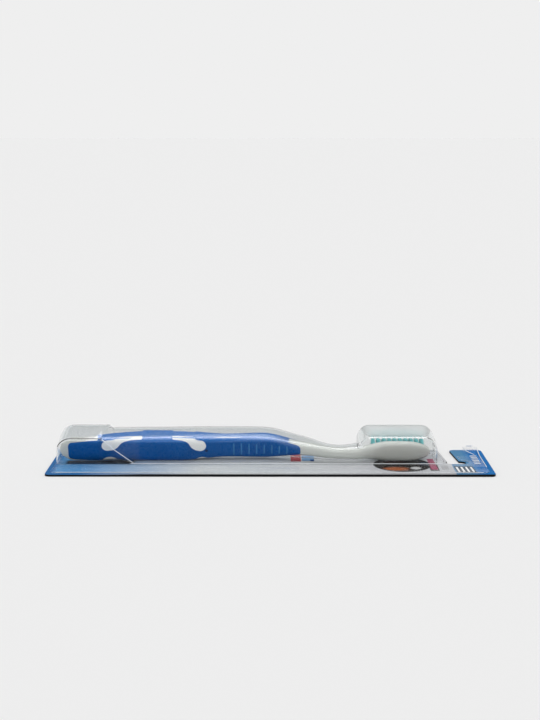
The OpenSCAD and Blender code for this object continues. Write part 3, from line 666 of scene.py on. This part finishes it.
def make_tufts():
    """Each tuft: a round root and a bundle of thin filaments with rounded tips."""
    rng = random.Random(7)
    strand = mesh_of("cylinder", vertices=6, radius=STRAND_R, depth=1, end_fill_type="NGON")
    bpy.ops.object.mode_set(mode="EDIT")
    bpy.ops.mesh.select_all(action="DESELECT")
    bm = bmesh.from_edit_mesh(strand.data)
    for f in bm.faces:
        f.select = f.normal.z > 0.9
    bmesh.update_edit_mesh(strand.data)
    bpy.ops.mesh.inset(thickness=0.045, depth=0.0)
    bpy.ops.transform.translate(value=(0, 0, 0.04))
    bpy.ops.object.mode_set(mode="OBJECT")
    proto = strand.data.copy()
    bpy.data.objects.remove(strand)
    for number, (tx, ty) in enumerate(TUFTS):
        root = mesh_of("cylinder", vertices=20, radius=ROOT_R, depth=ROOT_LEN)
        root.data.transform(Matrix.Translation((tx, ty, FACE_Z - ROOT_SINK - ROOT_LEN / 2)))
        bm = bmesh.new()
        bm.from_mesh(root.data)
        for k in range(FILAMENTS):
            r = TUFT_R * math.sqrt((k + 0.5) / FILAMENTS)
            a = k * GOLDEN_TURN
            x, y = r * math.cos(a), r * math.sin(a)
            lean_x = SPLAY * x + rng.uniform(-SWAY, SWAY)
            lean_y = SPLAY * y + rng.uniform(-SWAY, SWAY)
            tall = BRISTLE_LEN + rng.uniform(-0.12, 0.1)
            before = len(bm.verts)
            bm.from_mesh(proto)
            bm.verts.ensure_lookup_table()
            for v in bm.verts[before:]:
                up = (v.co.z + 0.5) * (tall + STRAND_SINK) - STRAND_SINK
                lift = max(0.0, up / tall) ** 2
                v.co = Vector((tx + x + v.co.x + lean_x * lift, ty + y + v.co.y + lean_y * lift, FACE_Z + up))
        bm.to_mesh(root.data)
        bm.free()
        settle(root, f"bristle_tuft_{number + 1:02d}", IN_PACK, "brush", 50, AQUA,
               (f"tuft_{number + 1:02d}",))


# The blister
T = 0.4
SHEET_Z = CARD_T + T
FRONT_Y, LEAN = -5.35638, 1.0
IN_SEAL = Matrix.Translation((0, 0, SEAL))
# Reach of the rounding at the section's far shoulder, crest and front edge
FAR_R, CREST_R, EDGE_R = 2.6, 4.0, 0.8

# place, roof height, crest place, far foot, fall of the roof in degrees
BUBBLE = [(-97.9991, 17.1644, 7.80458, 14.5429, 13), (-63, 17.4698, 7.80458, 14.5429, 13),
          (-23.0011, 17.8189, 7.80458, 14.5429, 13), (-4.00162, 17.5847, 8.39616, 14.5429, 13),
          (15.9978, 13.8153, 5.51799, 9.28636, 13), (34.9973, 9.81177, 0.684815, 3.96448, 8),
          (51.9968, 11.2175, 2.93079, 6.90581, 8)]


def rounded(points, reach, steps=6):
    """Rounds each corner of an outline whose reach is over zero."""
    out = []
    for i, p in enumerate(points):
        if not reach[i]:
            out.append(p)
            continue
        a, b = points[i - 1], points[(i + 1) % len(points)]
        ta = p + (a - p).normalized() * min(reach[i], (a - p).length * 0.48)
        tb = p + (b - p).normalized() * min(reach[i], (b - p).length * 0.48)
        for k in range(steps + 1):
            u = k / steps
            out.append(ta * (1 - u) ** 2 + p * 2 * u * (1 - u) + tb * u**2)
    return out


def shell_ring(x, foot, near_z, top_y, top_z, far_foot, shrink, sink):
    edge, near, top, back = foot + LEAN + shrink, near_z - shrink, top_z - shrink, far_foot - shrink
    flat = [Vector((foot + shrink, CARD_T - sink)), Vector((back, CARD_T - sink)),
            Vector((top_y + (back - top_y) * 0.75, top - (top_z - CARD_T) * 0.05)),
            Vector((top_y, top)), Vector((edge, near))]
    ring = rounded(flat, [0, 0, FAR_R, CREST_R, EDGE_R])
    return [Vector((x, p.x, p.y)) for p in ring]


def bubble(shrink, sink):
    rings = []
    for x in stations(BUBBLE[0][0], BUBBLE[-1][0], 1.5):
        top_z, top_y, far, fall = (along(BUBBLE, c, x) for c in (1, 2, 3, 4))
        near_z = top_z - (top_y - FRONT_Y - LEAN) * math.tan(math.radians(fall))
        rings.append(shell_ring(x, FRONT_Y, near_z, top_y, top_z, far, shrink, sink))
    return sweep(rings)


def pocket_ring(x, foot, top_y, top_z, far, fall, drop, shrink, sink):
    near_z = top_z - (top_y - foot - LEAN) * math.tan(math.radians(fall))
    taper = drop * 0.35
    return shell_ring(x, foot + taper, near_z - drop, top_y - taper, top_z - drop, far - taper, shrink, sink)


def shoulder(r, steps=12):
    """Run from the end and drop below the roof along a rounded shoulder."""
    return [(r * (1 - math.cos(math.pi / 2 * i / steps)), r * (1 - math.sin(math.pi / 2 * i / steps)))
            for i in range(steps + 1)]


TAIL = dict(foot=-6.15638, top_y=11.5737, top_z=18.1604, far=15.3429, fall=13)
TAIL_X0, TAIL_R, TAIL_END, TAIL_STEP, TAIL_NEAR_Z = -109.4, 7.5, -86.4, 0.9, 14.2979
TAIL_GAIN, STEP_RUN, RAMP_LEN = 2.0, 2.7, 20.0
HEAD = dict(foot=FRONT_Y, top_y=15.7554, top_z=17.1576, far=18.0095, fall=6)
HEAD_X0, HEAD_X1, HEAD_R = 44.9968, 85.396, 7.0


def tail_pocket(shrink, sink):
    r = TAIL_R - shrink
    rings = [pocket_ring(TAIL_X0 + shrink + run, drop=drop, shrink=shrink, sink=sink, **TAIL)
             for run, drop in shoulder(r)]
    for x in stations(TAIL_X0 + TAIL_R, TAIL_END - shrink, 3)[1:]:
        rings.append(pocket_ring(x, drop=0, shrink=shrink, sink=sink, **TAIL))
    pocket = sweep(rings)
    # The step down to the bubble's roof slants away from the front
    step = list(rings[-1])
    fall = ((0, 0), (0.35, 0.02), (0.7, 0.12), (STEP_RUN - 0.4, 2 * TAIL_STEP - 0.25), (STEP_RUN, 2 * TAIL_STEP))
    for run, drop in fall:
        ring = shell_ring(TAIL_END + TAIL_GAIN + run - shrink, TAIL["foot"], TAIL_NEAR_Z - drop, TAIL["top_y"],
                          TAIL["top_z"] - drop, TAIL["far"], shrink, sink)
        step += [p for p in ring if p.y > TAIL["top_y"] - 2.5]
    return combine(pocket, hull_of(step), "UNION")


def tail_ramp(shrink, sink):
    """The slant beside the tail pocket: its front wall ends in one crease and the bubble's begins in the next."""
    foot = TAIL["foot"] + shrink + 0.05
    top = TAIL_NEAR_Z - shrink - (TAIL_NEAR_Z - CARD_T) * 0.06
    x0, x1 = TAIL_END - TAIL_STEP, TAIL_END + RAMP_LEN
    low, high = CARD_T - sink, CARD_T + T - shrink
    points = [(x0, foot, low), (x0, FRONT_Y + LEAN, low), (x0, FRONT_Y + 2 * LEAN, top), (x0, foot + LEAN, top),
              (x0 + 1.6, foot + LEAN, top), (x1 - 2.8, foot, low), (x1 - 2.8, foot + 0.03, high),
              (x0 + 4.2, FRONT_Y + shrink + LEAN, top), (x1, FRONT_Y + shrink + 0.1, low),
              (x1, FRONT_Y + LEAN, low), (x1, FRONT_Y + shrink + 0.12, high)]
    return hull_of([Vector(p) for p in points])


def head_pocket(shrink, sink):
    r = HEAD_R - shrink
    left = [(HEAD_X0 + shrink + run, drop) for run, drop in shoulder(r)]
    right = [(HEAD_X1 - shrink - run, drop) for run, drop in reversed(shoulder(r))]
    return sweep([pocket_ring(x, drop=drop, shrink=shrink, sink=sink, **HEAD) for x, drop in left + right])


SLOT_R, SLOT_Y, SLOT_X0, SLOT_X1 = 3, -1.5, 93.0, 97.4
ENTRY_X0, ENTRY_X1, ENTRY_LEAN = 91, 97.3, 2.4


def slot_prism(grow, z0, z1):
    """Cutter of the hanging slot and its slanted entry from the far edge, grown by grow."""
    slot = hull_of([p for z in (z0, z1) for x in (SLOT_X0, SLOT_X1) for p in disc(x, SLOT_Y, SLOT_R + grow, z)])
    edge_y = CARD_W / 2 + 1
    entry = hull_of([Vector(p) for z in (z0, z1) for p in
                     ((ENTRY_X0 - grow, SLOT_Y, z), (ENTRY_X1 + grow, SLOT_Y, z),
                      (ENTRY_X1 - ENTRY_LEAN + grow, edge_y, z), (ENTRY_X0 - ENTRY_LEAN - grow, edge_y, z))])
    return combine(slot, entry, "UNION")


FLANGE_X0, FLANGE_X1, FLANGE_Y, FLANGE_R = -106.4, 106.0, 19.5, 3.5
TAB_X1, TAB_W, TAB_LEN, TAB_R, TAB_ROOT_Y, TAB_SLANT = 109.5, 7.6, 14, 2.53, 12, math.radians(8)
BARS, BAR_LEN, BAR_W, BAR_PITCH = 6, 4.2, 1.1, 3.2
BAR_BLOCK, BAR_ROUND = (3.4, 0.7, 0.4), 0.15


def flange():
    """The flat sheet round the pockets, without the slot and the corner that the peel tab takes."""
    sheet = hull_of([p for z in (CARD_T, SHEET_Z) for x in (FLANGE_X0, FLANGE_X1)
                     for y in (-FLANGE_Y, FLANGE_Y) for p in disc(x, y, FLANGE_R, z, 48)])
    combine(sheet, slot_prism(1.4, 0, 3))
    combine(sheet, hull_of([Vector((x, y, z)) for x in (90, 115) for y in (TAB_ROOT_Y, 30) for z in (0, 3)]))
    return sheet


def peel_tab():
    """The tab that stands a little off the card."""
    flat = hull_of([p for z in (0, T) for x in (TAB_X1 - TAB_W + TAB_R, TAB_X1 - TAB_R)
                    for y in (TAB_R, TAB_LEN - TAB_R) for p in disc(x, y, TAB_R, z)])
    flat.data.transform(Matrix.Translation((0, TAB_ROOT_Y - T, CARD_T)) @ Matrix.Rotation(TAB_SLANT, 4, "X"))
    return flat


def grip_bar(i):
    """A raised bar beside the peel tab, as a bevelled block."""
    bar = mesh_of("cube", size=1)
    x = TAB_X1 - (TAB_W + BAR_LEN) / 2 + BAR_LEN / 2
    y = TAB_ROOT_Y - 1 - BAR_PITCH * i - BAR_W / 2
    bar.data.transform(Matrix.Translation((x, y, SHEET_Z + 0.1)) @ Matrix.Diagonal((*BAR_BLOCK, 1)))
    return apply(bar, "BEVEL", width=BAR_ROUND, segments=3)


PARTS = (bubble, tail_pocket, tail_ramp, head_pocket)


def make_blister():
    """The clear shell in two pieces: the flat flange with its tab, and the pockets that rise out of it."""
    sheet = combine(flange(), peel_tab(), "UNION")
    for make in PARTS:
        combine(sheet, make(-0.03, 1))
    settle(sheet, "clear_flange", IN_SEAL, "blister", 28, SHEET)
    shell = bubble(0, 0)
    for make in PARTS[1:]:
        combine(shell, make(0, 0), "UNION")
    for make in PARTS:
        combine(shell, make(T, 1))
    return settle(shell, "clear_blister", IN_SEAL, "blister", 28, CLEAR, ("blister_shell",))


def knob(p, r):
    """Points of a small ball."""
    return [Vector(p) + Vector((a, b, c)).normalized() * r
            for a in (-1, 0, 1) for b in (-1, 0, 1) for c in (-1, 0, 1) if (a, b, c) != (0, 0, 0)]


def fold(name, points, r, finish):
    """A thin bead of plastic along a fold or a cut edge of the blister."""
    bead = None
    for a, b in zip(points, points[1:]):
        part = hull_of(knob(a, r) + knob(b, r))
        bead = part if bead is None else combine(bead, part, "UNION")
    return settle(bead, name, IN_SEAL, "blister", 60, finish)


def on_tab(x, y, run):
    """Point on the peel tab's upper face, run up its slant."""
    return x, y, SHEET_Z + run * math.tan(TAB_SLANT)


def make_folds():
    foot, top = TAIL["foot"], TAIL_NEAR_Z
    edge = [(TAIL_X0 + run, foot + drop * 0.35 + LEAN, top - drop) for run, drop in shoulder(TAIL_R, 8)[2:]]
    # Painted dark line along the tail pocket's front edge.
    fold("pocket_edge", edge + [(TAIL_END + 0.4, foot + LEAN, top)], 0.2, EDGE_SHADE)
    knee = (-80.2, foot + 0.5, 8.9)
    crease = [(TAIL_END + 0.8, foot + LEAN, top - 0.6), (-79.9, foot + 0.5, 8.9),
              (TAIL_END + RAMP_LEN - 2.8, foot, SHEET_Z)]
    fold("pocket_crease", crease, 0.2, WHITENED_HIGHLIGHT)
    for i, x in enumerate((-84.8, -83.2, -81.6)):
        fold(f"pocket_pucker_{i + 1}", [(x, foot + LEAN, top - 0.9), knee], 0.12, WHITENED_HIGHLIGHT)
    fold("foot_fold", [(-71, FRONT_Y - 0.1, SHEET_Z), (87.8, FRONT_Y - 0.1, SHEET_Z)], 0.2, WHITENED_HIGHLIGHT)
    fold("sheet_edge", [(109.3, -12, SHEET_Z), on_tab(109.3, 12.4, 0)], 0.2, WHITENED_HIGHLIGHT)
    fold("near_edge", [(-106.5, -22.9, SHEET_Z), (106, -22.9, SHEET_Z)], 0.13, WHITENED_HIGHLIGHT)
    fold("tab_edge", [on_tab(109.3, 12.4, 0), on_tab(109.3, 24, 11.6)], 0.22, WHITENED_HIGHLIGHT)
    fold("tab_lip", [on_tab(104.6, 25.7, 13.4), on_tab(107.0, 25.7, 13.4)], 0.35, WHITENED_HIGHLIGHT)
    fold("tab_crease", [on_tab(102.2, 23.5, 11.2), on_tab(103.4, 18, 6), on_tab(106.6, 13.4, 1.2)], 0.2, WHITENED_HIGHLIGHT)
    for i in range(BARS):
        settle(grip_bar(i), f"grip_bar_{i + 1}", IN_SEAL, "blister", 40, WHITENED_HIGHLIGHT)


make_core()
make_grip()
for rib in range(RIBS):
    for side in (-1, 1):
        make_rib(rib, side)
make_tufts()
make_blister()
make_folds()


# Stage, light and camera
FLOOR_PALE, FLOOR_DARK, DARK_FROM_Y = 0.885, 0.02, -30


def stage_material():
    """Pale floor; rays that have been mirrored once find it dark in front of the pack."""
    f = Finish("pale_floor", Roughness=1.0, Specular_IOR_Level=0.0)
    y = f.place()[1]
    mirrored = Mix(f.tree, f.node("ShaderNodeLightPath").outputs["Glossy Depth"]).least(1.0)
    dark = mirrored * (1 - y.over(DARK_FROM_Y, 10))
    f.feed(Base_Color=f.tint(dark, (FLOOR_PALE,) * 3, (FLOOR_DARK,) * 3))
    return f.material


floor = mesh_of("plane", size=60)
floor.name = "floor"
floor.data.materials.append(stage_material())

world = bpy.data.worlds.new("studio")
bpy.context.scene.world = world
world.use_nodes = True
tree = world.node_tree
back = next(n for n in tree.nodes if n.type == "BACKGROUND")
AMBIENT, BACKDROP = 0.42, 0.863
path = tree.nodes.new("ShaderNodeLightPath")
unmirrored = 1 - Mix(tree, path.outputs["Glossy Depth"]).least(1.0)
seen = Mix(tree, path.outputs["Is Camera Ray"]).most(Mix(tree, path.outputs["Is Transmission Ray"]) * unmirrored)
shiny = Mix(tree, path.outputs["Is Glossy Ray"])
sky = tree.nodes.new("ShaderNodeSeparateXYZ")
tree.links.new(tree.nodes.new("ShaderNodeTexCoord").outputs["Generated"], sky.inputs[0])
height = Mix(tree, sky.outputs["Z"])
depth = Mix(tree, sky.outputs["Y"])
# What glossy surfaces mirror: a dark room with a pale horizon, a band half way up, and a bright strip overhead
strip = height.over(0.93, 0.06) * abs(depth + 0.05).within(-1, 0.22, 0.06)
band = height.within(0.38, 0.5, 0.06)
horizon = (0.25 + 0.75 * depth.over(0.1, 0.9)) * (1 - height.over(0.33, 0.12))
gloss = 0.03 + 0.22 * height.over(0.6, 0.5) + 0.7 * band + 0.83 * horizon + 2.6 * strip
level = seen * BACKDROP + (1 - seen) * (shiny * gloss + (1 - shiny) * AMBIENT)
tree.links.new(level.socket, back.inputs["Strength"])
back.inputs["Color"].default_value = (1, 1, 1, 1)


def sun(name, energy, azimuth, elevation, angle):
    data = bpy.data.lights.new(name, "SUN")
    data.energy, data.angle = energy, math.radians(angle)
    lamp = bpy.data.objects.new(name, data)
    bpy.context.scene.collection.objects.link(lamp)
    a, e = math.radians(azimuth), math.radians(elevation)
    aim = -Vector((math.sin(a) * math.cos(e), math.cos(a) * math.cos(e), math.sin(e)))
    lamp.rotation_euler = aim.to_track_quat("-Z", "Y").to_euler()
    return lamp


sun("overhead_softbox", energy=1.35, azimuth=10, elevation=68, angle=50)
sun("front_softbox", energy=0.9, azimuth=190, elevation=30, angle=40)

EYE_PLACE, EYE_LENS, EYE_DIP, EYE_TURN = (0.0018, -0.6604, 0.1687), 66.06, 9.84, 0.17
eye = bpy.data.cameras.new("eye")
camera = bpy.data.objects.new("eye", eye)
bpy.context.scene.collection.objects.link(camera)
eye.lens = EYE_LENS
eye.sensor_width = 36
camera.location = EYE_PLACE
camera.rotation_euler = (math.radians(90 - EYE_DIP), 0, math.radians(EYE_TURN))
eye.clip_start, eye.clip_end = 0.01, 100
bpy.context.scene.camera = camera
bpy.context.scene.view_settings.view_transform = "Standard"
